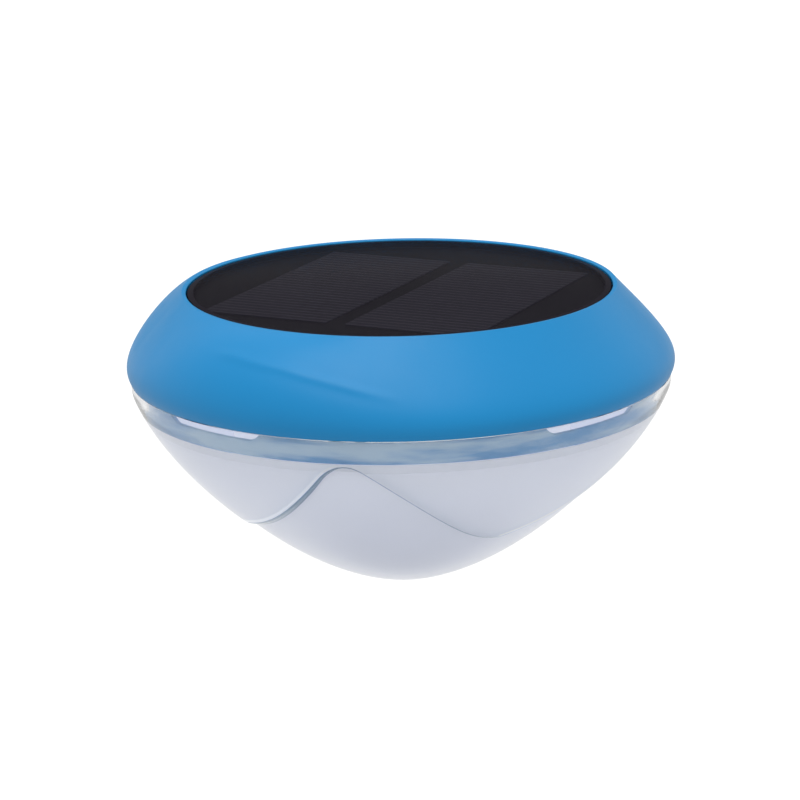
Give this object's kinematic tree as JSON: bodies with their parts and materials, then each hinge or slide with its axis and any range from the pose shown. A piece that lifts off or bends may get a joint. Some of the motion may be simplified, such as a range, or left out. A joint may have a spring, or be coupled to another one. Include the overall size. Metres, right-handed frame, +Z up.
{
  "type": "floating pool light",
  "caption": "Round solar floating pool light: a domed cover with a dark panel window over a clear wavy bowl that tapers to a rounded tip and twists off.",
  "frame": {"origin": "where the light's vertical axis passes through the still water surface when it floats", "axes": "+Z up along the axis, -Y towards the front, +X to the right seen from the front"},
  "size_m": [0.1641, 0.1642, 0.091],
  "materials": {
    "cover_blue": "satin moulded plastic",
    "housing_white": "satin moulded plastic",
    "guide_blue": "satin moulded plastic",
    "window_clear": "smooth, dark tint",
    "cell_silicon": "dark silicon with fine silver lines",
    "board_black": "matt laminate",
    "seal_black": "matt",
    "bowl_clear": "clear, polished",
    "diffuser_frosted": "frosted, translucent",
    "board_green": "solder mask",
    "board_white": "white solder mask",
    "plastic_black": "matt moulded plastic",
    "screw_steel": "plain stainless",
    "contact_nickel": "nickel plate",
    "battery_film": "shrunk film sleeve",
    "led_body": "phosphor-filled resin",
    "inductor_copper": "varnished copper wire",
    "lead_red": "insulated wire",
    "lead_black": "insulated wire",
    "button_white": "soft silicone"
  },
  "bodies": {
    "cover_and_housing": {"top_cover": "cover_blue", "panel_window": "window_clear", "window_seal": "seal_black", "solar_board": "board_black", "board_gasket": "seal_black", "solar_cell_left": "cell_silicon", "solar_cell_right": "cell_silicon", "inner_housing": "housing_white", "guide_skirt": "guide_blue", "battery_door": "housing_white", "door_gasket": "seal_black", "battery_cradle": "plastic_black", "battery_cell": "battery_film", "contact_plate": "contact_nickel", "contact_spring": "contact_nickel", "circuit_board": "board_green", "driver_chip": "plastic_black", "inductor_coil": "inductor_copper", "light_window": "bowl_clear", "lamp_board": "board_white", "push_switch": "plastic_black", "button_seal": "seal_black", "housing_screw_1": "screw_steel", "led_1": "led_body", "housing_screw_2": "screw_steel", "led_2": "led_body", "housing_screw_3": "screw_steel", "led_3": "led_body", "housing_screw_4": "screw_steel", "led_4": "led_body", "door_screw_1": "screw_steel", "board_screw_1": "screw_steel", "lamp_screw_1": "screw_steel", "door_screw_2": "screw_steel", "board_screw_2": "screw_steel", "lamp_screw_2": "screw_steel", "solar_lead_red": "lead_red", "lamp_lead_red": "lead_red", "battery_lead_red": "lead_red", "solar_lead_black": "lead_black", "lamp_lead_black": "lead_black", "battery_lead_black": "lead_black"},
    "bowl_unit": {"bowl": "bowl_clear", "bowl_seal": "seal_black", "diffuser": "diffuser_frosted"},
    "button": {"power_button": "button_white"}
  },
  "joints": [
    {"name": "bowl_twist", "type": "hinge", "parent": "cover_and_housing", "child": "bowl_unit", "pos_m": [0, 0, 0], "axis": [0, 0, 1], "range_deg": [0, 30]},
    {"name": "button_press", "type": "slide", "parent": "cover_and_housing", "child": "button", "axis": [0, 0, 1], "range_m": [0, 0.0015], "stiffness_N_per_m": 400}
  ]
}
